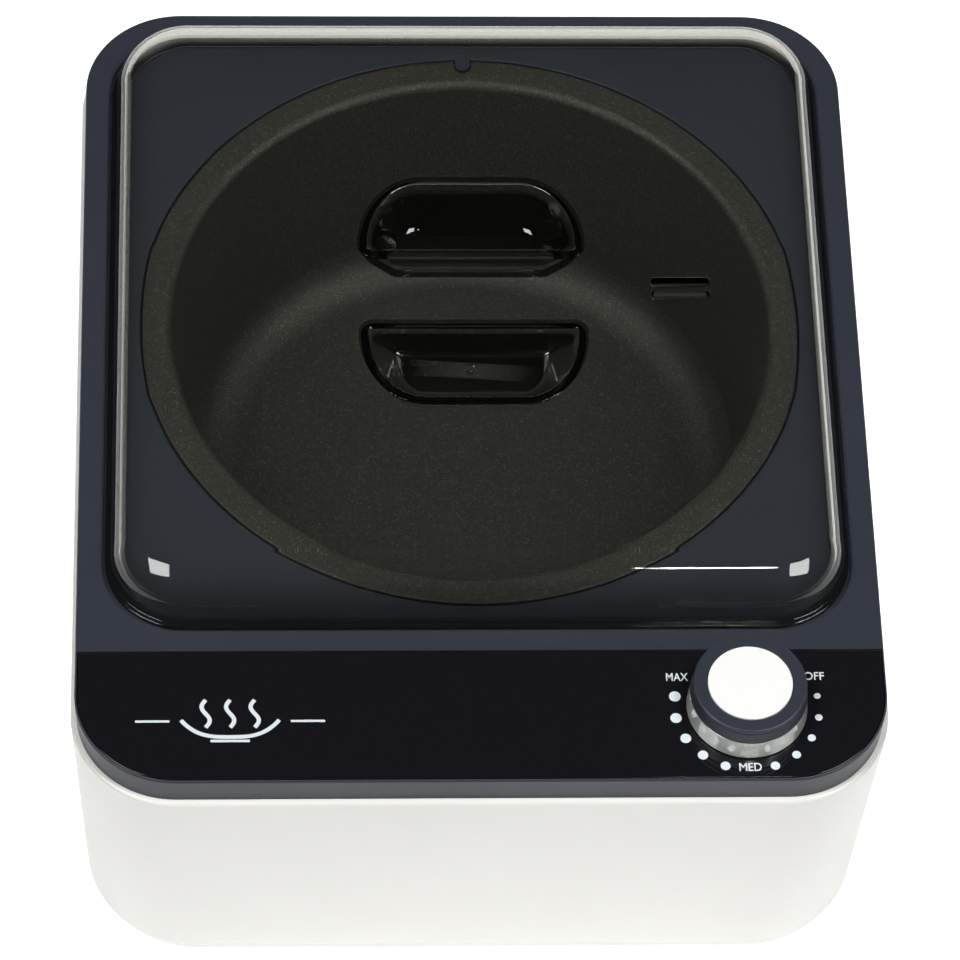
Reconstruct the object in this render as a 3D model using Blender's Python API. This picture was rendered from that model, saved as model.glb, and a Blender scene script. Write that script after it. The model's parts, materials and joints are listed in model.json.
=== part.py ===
"""Paraffin wax bath: housing, deck, lift-out pot, lift-off lid, control knob and heater parts.

Every size below is in millimetres; mesh_object() scales to metres as it makes each mesh.
X is the width, Y points to the back, Z is up, and Z = 0 is the underside of the feet.
"""

import math

import bmesh
import bpy

for leftover in list(bpy.data.objects):
    bpy.data.objects.remove(leftover, do_unlink=True)

MM = 0.001
GAP = 0.3  # running space kept between neighbouring pieces

# Driving sizes
DECK_WIDTH = 250.0
DECK_DEPTH = 297.4
DECK_CORNER = 31.3
DECK_TOP = 108.6
BAND_HEIGHT = 11.0
PLATE = 2.5  # thickness of the moulded plates and walls
PANEL_LINE = -102.0  # Y where the control panel starts
FOOT_HEIGHT = 3.0
BODY_PROUD = 1.6  # how far the housing's rim stands outside the deck's band
BODY_DRAFT = 0.0312  # inward slope of the housing wall, per mm of height
BATH_Y = 23.35  # Y of the centre of lid, pot and heating chamber
LID_HEIGHT = 17.5  # lid crown above the deck
LID_WALL = 3.0
GRIP_HALF = 33.6  # half the width of a finger cup's mouth
GRIP_DEPTH = 12.6
# A finger cup's wall, from its mouth down: how far the scooped sides and the upright side have come in,
# and the share of the depth
GRIP_WALL = ((0.0, 0.0, 0.0), (1.6, 0.4, 0.32), (6.4, 1.1, 0.72), (10.0, 2.2, 0.93), (13.0, 5.2, 1.0))
RECESS_HALF = 117.0
RECESS_DEPTH = 2.5
RECESS_CORNER = 25.1
FLANGE_RADIUS = 106.7
POT_RADIUS = 96.3
POT_WALL = 1.8
POT_FLOOR = 19.0
FILLET_CENTRE = (75.0, 34.5)  # radius and height of the centre of the bowls' bottom fillet
KNOB_AT = (81.24, -122.82)
KNOB_TURN_START = 30.0  # direction of the OFF mark, degrees from +X
POSTS = [(sx * 108.0, sy * 128.0) for sy in (-1, 1) for sx in (-1, 1)]
FEET = [(sx * 95.0, sy * 112.0) for sy in (-1, 1) for sx in (-1, 1)]
CORNER_NAMES = ("front_left", "front_right", "rear_left", "rear_right")
CHAMBER_SCREW_RADIUS = 112.5
INLET_AT = (70.0, 33.0)  # X and Z of the mains inlet's centre
WIRE_RADIUS = 1.1
ELEMENT_RADIUS = 55.0
ELEMENT_TUBE = 3.2
ELEMENT_Z = 12.3
UNDER_BOWL_RADIUS = 71.0  # where the fuse and the sensor bulb lie below the bowl

BAND_BOTTOM = DECK_TOP - BAND_HEIGHT
RIM_TOP = BAND_BOTTOM - GAP
RECESS_FLOOR = DECK_TOP - RECESS_DEPTH
LEDGE_TOP = DECK_TOP - 4.8
LEDGE_BOTTOM = LEDGE_TOP - PLATE
PLATE_BOTTOM = FOOT_HEIGHT + GAP
PLATE_TOP = PLATE_BOTTOM + PLATE
BOSS_TOP = 8.0


# ---------------------------------------------------------------- materials


def finish(name, colour, roughness, metallic=0.0, alpha=1.0):
    material = bpy.data.materials.new(name)
    material.use_nodes = True
    shader = material.node_tree.nodes["Principled BSDF"]
    shader.inputs["Base Color"].default_value = (*colour, 1.0)
    shader.inputs["Roughness"].default_value = roughness
    shader.inputs["Metallic"].default_value = metallic
    shader.inputs["Alpha"].default_value = alpha
    return material


off_white = finish("off_white_plastic", (0.82, 0.81, 0.77), 0.35)
navy_grey = finish("navy_grey_plastic", (0.040, 0.044, 0.060), 0.42)
gloss_black = finish("gloss_black_panel", (0.008, 0.008, 0.010), 0.08)
smoked = finish("smoked_clear", (0.03, 0.03, 0.03), 0.05, alpha=0.45)
coated = finish("speckled_coating", (0.040, 0.040, 0.033), 0.45)
silver = finish("polished_skirt", (0.58, 0.60, 0.57), 0.15)
white_disc = finish("white_disc", (0.9, 0.9, 0.88), 0.3)
black_plastic = finish("black_base", (0.02, 0.02, 0.02), 0.55)
rubber = finish("foot_rubber", (0.03, 0.03, 0.03), 0.85)
aluminium = finish("spun_aluminium", (0.72, 0.72, 0.73), 0.32, metallic=1.0)
steel = finish("zinc_steel", (0.62, 0.62, 0.60), 0.35, metallic=1.0)
brass = finish("brass_contact", (0.78, 0.60, 0.28), 0.3, metallic=1.0)
copper = finish("copper_capillary", (0.75, 0.38, 0.24), 0.3, metallic=1.0)
silicone = finish("silicone_seal", (0.45, 0.10, 0.06), 0.6)
fibre = finish("glass_fibre_felt", (0.80, 0.77, 0.66), 0.95)
sheath = finish("element_sheath", (0.30, 0.29, 0.27), 0.45, metallic=1.0)
phenolic = finish("phenolic_body", (0.10, 0.07, 0.05), 0.5)
ceramic = finish("terminal_ceramic", (0.80, 0.77, 0.70), 0.5)
wire_brown = finish("wire_brown", (0.16, 0.06, 0.025), 0.5)
wire_blue = finish("wire_blue", (0.02, 0.10, 0.42), 0.5)
wire_green = finish("wire_green", (0.10, 0.42, 0.06), 0.5)
wire_white = finish("wire_white", (0.78, 0.77, 0.72), 0.55)


# ---------------------------------------------------------------- mesh helpers


def mesh_object(name, points, faces, material, pivot=None):
    """One closed mesh from points in millimetres; pivot is an empty that the piece is parented to."""
    place = pivot.location if pivot else (0.0, 0.0, 0.0)
    mesh = bpy.data.meshes.new(name)
    scaled = [[axis * MM - offset for axis, offset in zip(point, place)] for point in points]
    mesh.from_pydata(scaled, [], faces)
    surface = bmesh.new()
    surface.from_mesh(mesh)
    bmesh.ops.recalc_face_normals(surface, faces=surface.faces)
    surface.to_mesh(mesh)
    surface.free()
    mesh.shade_smooth()
    mesh.set_sharp_from_angle(angle=math.radians(35))
    mesh.materials.append(material)
    piece = bpy.data.objects.new(name, mesh)
    piece.parent = pivot
    bpy.context.scene.collection.objects.link(piece)
    return piece


def pivot_at(name, x, y, z):
    """An empty on the axis of a joint."""
    empty = bpy.data.objects.new(name, None)
    empty.location = (x * MM, y * MM, z * MM)
    bpy.context.scene.collection.objects.link(empty)
    bpy.context.view_layer.update()
    return empty


def loft(name, rings, material, pivot=None, ring_shaped=False):
    """Joins rings of equally many points. ring_shaped joins the last ring to the first, for a tube."""
    count = len(rings[0])
    points = [point for ring in rings for point in ring]
    spans = len(rings) if ring_shaped else len(rings) - 1
    faces = []
    for level in range(spans):
        low = level * count
        high = (level + 1) % len(rings) * count
        for step in range(count):
            after = (step + 1) % count
            faces.append((low + step, low + after, high + after, high + step))
    if not ring_shaped:
        faces.append(tuple(range(count)))
        faces.append(tuple(range(len(points) - count, len(points))))
    return mesh_object(name, points, faces, material, pivot)


def prism(name, outline, low, high, material=None, pivot=None):
    """An outline in X and Y between two heights."""
    rings = [[(x, y, z) for x, y in outline] for z in (low, high)]
    return loft(name, rings, material or steel, pivot)


def turned(name, profile, material, centre=(0.0, 0.0), steps=48, pivot=None):
    """A closed profile of (radius, height) points turned about the vertical line at centre."""
    points = []
    rows = []
    for radius, height in profile:
        if radius == 0.0:
            rows.append([len(points)] * steps)
            points.append((*centre, height))
            continue
        rows.append(list(range(len(points), len(points) + steps)))
        for step in range(steps):
            turn = math.tau * step / steps
            x = centre[0] + radius * math.cos(turn)
            y = centre[1] + radius * math.sin(turn)
            points.append((x, y, height))
    faces = []
    for row, following in zip(rows, rows[1:] + rows[:1]):
        for step in range(steps):
            after = (step + 1) % steps
            corners = dict.fromkeys((row[step], row[after], following[after], following[step]))
            if len(corners) > 2:
                faces.append(tuple(corners))
    return mesh_object(name, points, faces, material, pivot)


def cylinders(name, places, radius, low, high, steps=20):
    """Cutter or joining tool: one upright cylinder at each place."""
    points = []
    faces = []
    for x, y in places:
        start = len(points)
        for step in range(steps):
            turn = math.tau * step / steps
            px, py = x + radius * math.cos(turn), y + radius * math.sin(turn)
            points += [(px, py, low), (px, py, high)]
        ends = range(start, start + 2 * steps, 2)
        faces += [tuple(ends), tuple(index + 1 for index in ends)]
        for step in range(steps):
            here = start + 2 * step
            after = start + 2 * ((step + 1) % steps)
            faces.append((here, after, after + 1, here + 1))
    return mesh_object(name, points, faces, steel)


def block(name, low, high, material=None, pivot=None):
    """A box between two opposite corners."""
    outline = [(low[0], low[1]), (high[0], low[1]), (high[0], high[1]), (low[0], high[1])]
    return prism(name, outline, low[2], high[2], material, pivot)


def boolean(target, tool, operation="DIFFERENCE"):
    modifier = target.modifiers.new(tool.name, "BOOLEAN")
    modifier.operation = operation
    modifier.object = tool
    tool.hide_render = True
    tool.display_type = "WIRE"


def rounded_rectangle(half_x, half_y, corner, centre_y=0.0, steps=6):
    """Outline points, anticlockwise from the right end of the rear right corner."""
    outline = []
    for quarter, (sx, sy) in enumerate(((1, 1), (-1, 1), (-1, -1), (1, -1))):
        for step in range(steps + 1):
            turn = math.radians(90.0 * (quarter + step / steps))
            x = sx * (half_x - corner) + corner * math.cos(turn)
            y = sy * (half_y - corner) + corner * math.sin(turn)
            outline.append((x, centre_y + y))
    return outline


def grip_outline(half_x, straight_y, round_y, small, large, steps=5):
    """A D, anticlockwise: small corners on the straight side, then elliptical ones that reach the far side."""
    facing = 1 if round_y > straight_y else -1
    tall = abs(round_y - straight_y) - small - 0.3
    corners = ((1, straight_y, small, small), (1, round_y, large, tall))
    corners += ((-1, round_y, large, tall), (-1, straight_y, small, small))
    outline = []
    for index, (side, y, reach, rise) in enumerate(corners):
        inward = 1 if y == straight_y else -1
        centre = (side * (half_x - reach), y + inward * facing * rise)
        for step in range(steps + 1):
            turn = math.radians(90.0 * (index - 1 + step / steps))
            outline.append((centre[0] + reach * math.cos(turn), centre[1] + facing * rise * math.sin(turn)))
    return outline


def grip_rings(straight, far, top, bottom, outward):
    """Rings of a finger cup from its mouth down: upright on the straight side, scooped on the others."""
    lean = 1 if far > straight else -1
    rings = []
    for scoop, upright, share in GRIP_WALL:
        near = straight - lean * (outward - upright)
        reach = far + lean * (outward - scoop)
        edge = grip_outline(GRIP_HALF + outward - scoop, near, reach, 1.6 + outward, 18.0 + outward - scoop)
        rings.append([(x, y, top + (bottom - top) * share) for x, y in edge])
    return rings


def arc(centre, radius_out, radius_up, start, end, steps):
    """Profile points on an ellipse's arc, in degrees."""
    points = []
    for step in range(steps + 1):
        turn = math.radians(start + (end - start) * step / steps)
        points.append((centre[0] + radius_out * math.cos(turn), centre[1] + radius_up * math.sin(turn)))
    return points


def cable(name, route, radius, material, samples=2):
    """A round lead along a smooth curve through the route's points."""
    ends = [route[0], *route, route[-1]]
    path = []
    for index in range(1, len(ends) - 2):
        before, start, end, after = ends[index - 1 : index + 3]
        for sample in range(samples):
            t = sample / samples
            point = []
            for a, b, c, d in zip(before, start, end, after):
                slope = (c - a) * t + (2 * a - 5 * b + 4 * c - d) * t**2 + (3 * b - a - 3 * c + d) * t**3
                point.append((b + 0.5 * slope) * MM)
            path.append(point)
    path.append([axis * MM for axis in route[-1]])
    curve = bpy.data.curves.new(name, "CURVE")
    curve.dimensions = "3D"
    spline = curve.splines.new("POLY")
    spline.points.add(len(path) - 1)
    for target, point in zip(spline.points, path):
        target.co = (*point, 1.0)
    curve.bevel_depth = radius * MM
    curve.bevel_resolution = 1
    curve.use_fill_caps = True
    curve.materials.append(material)
    bpy.context.scene.collection.objects.link(bpy.data.objects.new(name, curve))


# ---------------------------------------------------------------- housing and base


def body_outline(height, inset):
    """Outline of the housing at a height; the wall leans in and its corners open out downwards."""
    drop = RIM_TOP - height
    half_x = DECK_WIDTH / 2 + BODY_PROUD - BODY_DRAFT * drop - inset
    half_y = DECK_DEPTH / 2 + BODY_PROUD - BODY_DRAFT * drop - inset
    corner = DECK_CORNER + BODY_PROUD + BODY_DRAFT * drop - inset
    return [(x, y, height) for x, y in rounded_rectangle(half_x, half_y, corner)]


def build_housing():
    wall = 2.6
    rings = [
        body_outline(FOOT_HEIGHT, 1.5),
        body_outline(FOOT_HEIGHT + 0.5, 0.5),
        body_outline(FOOT_HEIGHT + 1.5, 0.0),
        body_outline(RIM_TOP - 1.4, 0.0),
        body_outline(RIM_TOP - 0.4, 0.4),
        body_outline(RIM_TOP, 1.3),
        body_outline(RIM_TOP, wall),
        body_outline(FOOT_HEIGHT, wall),
    ]
    housing = loft("housing", rings, off_white, ring_shaped=True)
    x, z = INLET_AT
    boolean(housing, block("inlet_cutout", (x - 14.5, 140, z - 10.8), (x + 14.5, 160, z + 10.8)))


def build_base():
    half_x = DECK_WIDTH / 2 + BODY_PROUD - BODY_DRAFT * (RIM_TOP - FOOT_HEIGHT) - 3.1
    half_y = half_x + (DECK_DEPTH - DECK_WIDTH) / 2
    plate = prism("base_plate", rounded_rectangle(half_x, half_y, 32.8), PLATE_BOTTOM, PLATE_TOP, black_plastic)
    boolean(plate, cylinders("base_bosses", POSTS, 6.0, PLATE_BOTTOM + 1, BOSS_TOP, 14), "UNION")
    boolean(plate, cylinders("head_recesses", POSTS, 3.6, 0.0, 5.7, 14))
    boolean(plate, cylinders("screw_holes", POSTS, 1.9, 0.0, 12.0, 10))
    for row in range(7):
        y = BATH_Y - 42 + 14 * row
        slot = rounded_rectangle(30.0, 1.6, 1.5, y, steps=2)
        boolean(plate, prism(f"base_vent_{row + 1}", slot, 0.0, 10.0))
    foot_profile = [(0, 0.4), (4.0, 0.4), (4.6, 0), (7.2, 0), (8.0, 0.7), (8.4, FOOT_HEIGHT), (0, FOOT_HEIGHT)]
    for corner, place in zip(CORNER_NAMES, FEET):
        turned(f"foot_{corner}", foot_profile, rubber, place, 18)
    for corner, place in zip(CORNER_NAMES, POSTS):
        screw(f"base_screw_{corner}", place, 3.5, 3.2, 1.6, 1.6, 12.0)


def screw(name, place, bottom, head_radius, head_height, shank_radius, shank_length):
    """A pan-head screw standing on its head, with a round driver socket in the head."""
    socket = 0.45 * head_radius
    neck = bottom + head_height
    tip = neck + shank_length
    profile = [
        (0, bottom + 0.6 * head_height),
        (socket, bottom + 0.6 * head_height),
        (socket, bottom),
        (head_radius * 0.8, bottom),
        (head_radius, bottom + 0.5 * head_height),
        (head_radius, neck),
        (shank_radius, neck),
        (shank_radius, tip - shank_radius),
        (0, tip),
    ]
    turned(name, profile, steel, place, 12)


# ---------------------------------------------------------------- deck and panel


def deck_outline(height, inset):
    corner = DECK_CORNER - inset
    outline = rounded_rectangle(DECK_WIDTH / 2 - inset, DECK_DEPTH / 2 - inset, corner)
    return [(x, y, height) for x, y in outline]


def panel_outline(inset, line):
    """The deck's outline in front of a line across it."""
    front = [(x, y) for x, y, _ in deck_outline(0, inset) if y < line]
    side = DECK_WIDTH / 2 - inset
    return [(-side, line), *front, (side, line)]


def flange_seat(radius, tab_half, tab_length):
    """A circle with a round-nosed tab reaching inwards from its rear point."""
    outline = []
    spread = math.degrees(math.asin(tab_half / radius))
    steps = 54
    for step in range(steps + 1):
        turn = math.radians(90 + spread + (360 - 2 * spread) * step / steps)
        outline.append((radius * math.cos(turn), BATH_Y + radius * math.sin(turn)))
    nose = BATH_Y + radius - tab_length + tab_half
    for x, y in arc((0.0, nose), tab_half, tab_half, 0, -180, 8):
        outline.append((x, y))
    return outline


def build_deck():
    block_rings = [
        deck_outline(BAND_BOTTOM, 0.0),
        deck_outline(DECK_TOP - 0.9, 0.0),
        deck_outline(DECK_TOP - 0.25, 0.2),
        deck_outline(DECK_TOP, 0.6),
    ]
    deck = loft("top_deck", block_rings, navy_grey)
    hollow = [(x, y) for x, y, _ in deck_outline(0, PLATE)]
    boolean(deck, prism("deck_hollow", hollow, BAND_BOTTOM - 5, DECK_TOP - 5))
    ledge = cylinders("ledge_ring", [(0.0, BATH_Y)], 110.0, LEDGE_BOTTOM, DECK_TOP - 4, 56)
    boolean(deck, ledge, "UNION")
    boolean(deck, cylinders("deck_posts", POSTS, 4.5, BOSS_TOP + GAP, DECK_TOP - 4, 14), "UNION")
    boolean(deck, cylinders("chamber_bosses", chamber_screws(), 3.6, 99.5, DECK_TOP - 4, 14), "UNION")
    recess = rounded_rectangle(RECESS_HALF, RECESS_HALF + GAP, RECESS_CORNER, BATH_Y)
    boolean(deck, prism("lid_recess", recess, RECESS_FLOOR, DECK_TOP + 5))
    boolean(deck, prism("flange_recess", flange_seat(107.3, 2.4, 4.6), LEDGE_TOP, DECK_TOP + 6))
    boolean(deck, cylinders("pot_opening", [(0.0, BATH_Y)], 99.2, 90, DECK_TOP + 7, 56))
    pocket = prism("panel_pocket", panel_outline(0.6, PANEL_LINE), DECK_TOP - 2.3, DECK_TOP + 5)
    boolean(deck, pocket)
    boolean(deck, cylinders("bushing_hole", [KNOB_AT], 4.6, 90, DECK_TOP + 8))
    boolean(deck, cylinders("post_pilots", POSTS, 1.9, 0.0, 20.0, 10))
    boolean(deck, cylinders("boss_pilots", chamber_screws(), 1.6, 95.0, DECK_TOP - 5.6, 10))
    outline = panel_outline(0.6 + GAP, PANEL_LINE - GAP)
    panel = prism("control_panel", outline, DECK_TOP - 2.0, DECK_TOP, gloss_black)
    boolean(panel, cylinders("panel_hole", [KNOB_AT], 4.6, 90, DECK_TOP + 9))


def chamber_screws():
    angles = [math.radians(45 + 90 * quarter) for quarter in (2, 3, 1, 0)]
    reach = CHAMBER_SCREW_RADIUS
    return [(reach * math.cos(turn), BATH_Y + reach * math.sin(turn)) for turn in angles]


# ---------------------------------------------------------------- lid and pot


def lid_rings(inset, crown, lip):
    """Rings of a domed cover: an upright wall, then a quarter-round edge up to the flat crown."""
    edge = 16.0 - inset
    rings = []
    for out, height in lip:
        rings.append((out, height))
    for out, height in arc((edge, crown - edge), -edge, edge, 0, 90, 6):
        rings.append((inset + out, height))
    shapes = []
    for out, height in rings:
        outline = rounded_rectangle(114.8 - out, 115.05 - out, max(23.0 - out, 5.0), BATH_Y)
        shapes.append([(x, y, height) for x, y in outline])
    return shapes


def build_lid(pivot):
    foot = RECESS_FLOOR + GAP
    crown = DECK_TOP + LID_HEIGHT
    lip = [(-1.6, foot), (-1.6, foot + 1.7), (0.0, foot + 2.2)]
    lid = loft("lid", lid_rings(0.0, crown, lip), smoked, pivot)
    boolean(lid, loft("lid_inside", lid_rings(LID_WALL, crown - LID_WALL, [(LID_WALL, foot - 4)]), steel))
    for side, straight, far in (("rear", 38.7, 64.9), ("front", 8.0, -18.7)):
        outer = grip_rings(straight, far, crown - 1.3, crown - GRIP_DEPTH - LID_WALL, LID_WALL - 0.2)
        inner = grip_rings(straight, far, crown, crown - GRIP_DEPTH, 0.0)
        mouth = [(x, y, crown + 3.0) for x, y, _ in inner[0]]
        boolean(lid, loft(f"{side}_grip_cup", outer, steel), "UNION")
        boolean(lid, loft(f"{side}_grip_hollow", [mouth, *inner], steel))
    for row, y in enumerate((BATH_Y - 2.55, BATH_Y + 2.55)):
        slot = [(66.6 + x, y_) for x, y_ in rounded_rectangle(9.5, 1.3, 1.2, y, steps=3)]
        boolean(lid, prism(f"lid_vent_{row + 1}", slot, crown - 8, crown + 5))


def build_pot(pivot):
    top = DECK_TOP - 2.4
    centre = FILLET_CENTRE
    fillet = centre[1] - POT_FLOOR
    wall_foot = centre[0] + fillet
    profile = [(0, POT_FLOOR), *arc(centre, fillet, fillet, -90, 0, 6)]
    profile += [(POT_RADIUS, top - 3), (POT_RADIUS + 0.9, top - 0.9), (POT_RADIUS + 3, top)]
    profile += [(FLANGE_RADIUS - 0.7, top), (FLANGE_RADIUS, top - 0.6), (FLANGE_RADIUS, top - 2)]
    profile += [(POT_RADIUS + 2.2, top - 2), (POT_RADIUS + POT_WALL - 0.2, top - 3.2)]
    profile += [(wall_foot + POT_WALL - 0.2, centre[1])]
    profile += arc(centre, fillet + 1.6, fillet + 1.6, -15, -90, 5)
    profile.append((0, POT_FLOOR - 1.6))
    pot = turned("inner_pot", profile, coated, (0.0, BATH_Y), 56, pivot)
    notch = BATH_Y + FLANGE_RADIUS - 2.2
    slot = rounded_rectangle(2.9, 2.9 + 4, 2.8, notch + 4, steps=4)
    boolean(pot, prism("locating_notch", slot, top - 5, top + 5))


# ---------------------------------------------------------------- heating chamber


def build_chamber():
    centre = FILLET_CENTRE
    floor = 17.0
    sheet = 1.2
    rim = 99.2
    profile = [(0, floor), *arc(centre, 18.4, centre[1] - floor, -90, 0, 6)]
    profile += [(99.5, rim), (116.0, rim), (116.0, rim - sheet), (99.5 + sheet, rim - sheet)]
    profile += arc(centre, 18.4 + sheet, centre[1] - floor + sheet, 0, -90, 6)
    profile.append((0, floor - sheet))
    chamber = turned("heating_chamber", profile, aluminium, (0.0, BATH_Y), 48)
    boolean(chamber, cylinders("flange_holes", chamber_screws(), 1.6, 90, 105, 10))
    seal = [(101.5, 99.5), (108.5, 99.5), (108.5, LEDGE_BOTTOM - GAP), (101.5, LEDGE_BOTTOM - GAP)]
    turned("chamber_seal", seal, silicone, (0.0, BATH_Y), 48)
    jacket = [(101.4, 34.0), (108.0, 34.0), (108.0, 94.0), (101.4, 94.0)]
    turned("insulation_jacket", jacket, fibre, (0.0, BATH_Y), 48)
    for corner, place in zip(CORNER_NAMES, chamber_screws()):
        screw(f"chamber_screw_{corner}", place, 95.6, 2.8, 2.1, 1.3, 4.8)


def build_heater():
    ring = []
    for step in range(25):
        turn = math.radians(-78 + 336 * step / 24)
        x, y = ELEMENT_RADIUS * math.cos(turn), ELEMENT_RADIUS * math.sin(turn)
        ring.append((x, BATH_Y + y, ELEMENT_Z))
    start = [(9.0, BATH_Y - 67.0, ELEMENT_Z), (9.2, BATH_Y - 60.0, ELEMENT_Z)]
    end = [(-x, y, z) for x, y, z in reversed(start)]
    cable("heating_element", start + ring + end, ELEMENT_TUBE, sheath, samples=1)
    for number, x in enumerate((9.0, -9.0), 1):
        low = (x - 1.3, BATH_Y - 75.0, ELEMENT_Z - 0.5)
        block(f"element_pin_{number}", low, (x + 1.3, BATH_Y - 67.0 - GAP, ELEMENT_Z + 0.5), brass)
    clamp = [(2.4, 12.4), (12, 12.4), (24, 7.6), (64, 7.6), (64, 8.8), (24.6, 8.8), (12.6, 13.6), (2.4, 13.6)]
    turned("element_clamp", clamp, steel, (0.0, BATH_Y), 28)
    turned("clamp_stud", [(0, 8.2), (2.0, 8.2), (2.0, 15.5), (0, 15.5)], steel, (0.0, BATH_Y), 12)
    turned("clamp_nut", [(2.8, 9.2), (4.4, 9.2), (4.4, 12.1), (2.8, 12.1)], steel, (0.0, BATH_Y), 6)
    under_bowl("thermal_fuse", "fuse_clip", UNDER_BOWL_RADIUS, 9.0, ceramic)
    under_bowl("sensor_bulb", "bulb_clip", -UNDER_BOWL_RADIUS, 15.0, copper)
    lug = [(41.0, BATH_Y + 52.5), (47.0, BATH_Y + 52.5), (47.0, BATH_Y + 58.0), (41.0, BATH_Y + 58.0)]
    prism("earth_tab", lug, 14.3, 15.4, brass)


def under_bowl(name, clip_name, x, half_length, material):
    """A round capsule lying along Y below the bowl, and the saddle clip that holds it there."""
    radius = 2.1
    z = 15.8 - GAP - radius
    sides = 10
    rings = []
    for y in (BATH_Y - half_length, BATH_Y + half_length):
        turns = [math.tau * step / sides for step in range(sides)]
        rings.append([(x + radius * math.cos(turn), y, z + radius * math.sin(turn)) for turn in turns])
    loft(name, rings, material)
    inner, outer = radius + GAP, radius + GAP + 0.8
    saddle = arc((x, z), outer, outer, 180, 360, 8) + [(x + outer, 14.7), (x + outer + 3, 14.7)]
    saddle += [(x + outer + 3, 15.5), (x + inner, 15.5)] + arc((x, z), inner, inner, 360, 180, 8)
    saddle += [(x - inner, 15.5), (x - outer - 3, 15.5), (x - outer - 3, 14.7), (x - outer, 14.7)]
    rings = [[(px, BATH_Y + y, pz) for px, pz in saddle] for y in (-3.0, 3.0)]
    loft(clip_name, rings, steel)


# ---------------------------------------------------------------- control and knob


def build_thermostat():
    x, y = KNOB_AT
    top = DECK_TOP - 5 - GAP
    body = block("thermostat_body", (x - 17, y - 15, top - 22), (x + 17, y + 15, top), phenolic)
    boolean(body, cylinders("bushing", [KNOB_AT], 4.2, top - 2, DECK_TOP + 2.6), "UNION")
    boolean(body, cylinders("spindle_bore", [KNOB_AT], 3.4, top - 7, DECK_TOP + 6))
    nut = [(5.3, DECK_TOP + GAP), (7.8, DECK_TOP + GAP), (7.8, DECK_TOP + 2.4), (5.3, DECK_TOP + 2.4)]
    turned("thermostat_nut", nut, steel, KNOB_AT, 6)
    for number, side in enumerate((-7.0, 7.0), 1):
        low = (x + side - 3.1, y - 0.4, top - 30)
        block(f"thermostat_blade_{number}", low, (x + side + 3.1, y + 0.4, top - 22 - GAP), brass)


def build_knob(pivot):
    z = DECK_TOP
    cap = [(3.3, z + 3), (6, z + 3), (6, z + 10), (13.6, z + 10), (13.6, z + 1.5), (15.2, z + 1.5)]
    cap += [(15.2, z + 8), (17.8, z + 8), (18.1, z + 8.4), (17.5, z + 12), (17, z + 12.2), (17, z + 12.5)]
    cap += [(17.5, z + 12.8), (17.5, z + 13.4), (16.8, z + 14.1), (13.4, z + 14.2), (13.4, z + 13)]
    cap += [(0, z + 13), (0, z + 11.2), (3.3, z + 11.2)]
    turned("knob_cap", cap, navy_grey, KNOB_AT, 30, pivot)
    disc = [(0, z + 13.3), (13.04, z + 13.3), (13.04, z + 14.2), (12.8, z + 14.4), (0, z + 14.4)]
    turned("knob_disc", disc, white_disc, KNOB_AT, 30, pivot)
    skirt = [(15.5, z + 0.5), (18.3, z + 0.5), (18.7, z + 0.9), (17.9, z + 7.5), (17.6, z + 7.7), (15.5, z + 7.7)]
    turned("knob_skirt", skirt, silver, KNOB_AT, 30, pivot)
    spindle = []
    flat = math.radians(40)
    for step in range(17):
        turn = math.radians(KNOB_TURN_START) + flat + (math.tau - 2 * flat) * step / 16
        spindle.append((KNOB_AT[0] + 3 * math.cos(turn), KNOB_AT[1] + 3 * math.sin(turn)))
    prism("knob_spindle", spindle, z - 11.5, z + 10.9, steel, pivot)


# ---------------------------------------------------------------- mains side and wiring


def build_inlet():
    x, z = INLET_AT
    face = 150.2
    mouth = [[(x + px, y, z + pz) for px, pz in socket_outline(12.2, 8.4, 4.0)] for y in (134.4, 160)]
    shell = [[(x + px, y, z + pz) for px, pz in socket_outline(14.2, 10.4, 4.6)] for y in (132.2, face - 0.6)]
    bezel = [[(x + px, y, z + pz) for px, pz in rounded_rectangle(17, 12.8, 2)] for y in (face - 1.2, face)]
    inlet = loft("mains_inlet", bezel, black_plastic)
    boolean(inlet, loft("socket_shell", shell, steel), "UNION")
    boolean(inlet, loft("socket_mouth", mouth, steel))
    pins = (("live", -7.0, 0.0), ("earth", 0.0, 4.0), ("neutral", 7.0, 0.0))
    for name, px, pz in pins:
        hole = block(f"{name}_hole", (x + px - 1.4, 120, z + pz - 2.4), (x + px + 1.4, 140, z + pz + 2.4))
        boolean(inlet, hole)
        low = (x + px - 1.0, 125.0, z + pz - 2.0)
        block(f"inlet_pin_{name}", low, (x + px + 1.0, 144.4, z + pz + 2.0), brass)


def socket_outline(half_x, half_z, cut):
    """A rectangle whose two upper corners are cut off, as on an appliance inlet."""
    lower = [(-half_x, -half_z), (half_x, -half_z), (half_x, half_z - cut)]
    return lower + [(half_x - cut, half_z), (cut - half_x, half_z), (-half_x, half_z - cut)]


def build_terminal_block():
    low, high = (1.0, -132.0, PLATE_TOP + GAP), (19.0, -108.0, 19.0)
    terminal = block("terminal_block", low, high, ceramic)
    poles = [(10.0, -126.0), (10.0, -114.0)]
    boolean(terminal, cylinders("screw_wells", poles, 2.9, 14.5, 25.0))
    for number, place in enumerate(poles, 1):
        head = [(0, 14.8), (2.5, 14.8), (2.5, 16.4), (1.1, 16.4), (1.1, 15.9), (0, 15.9)]
        turned(f"terminal_screw_{number}", head, brass, place, 12)


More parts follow.
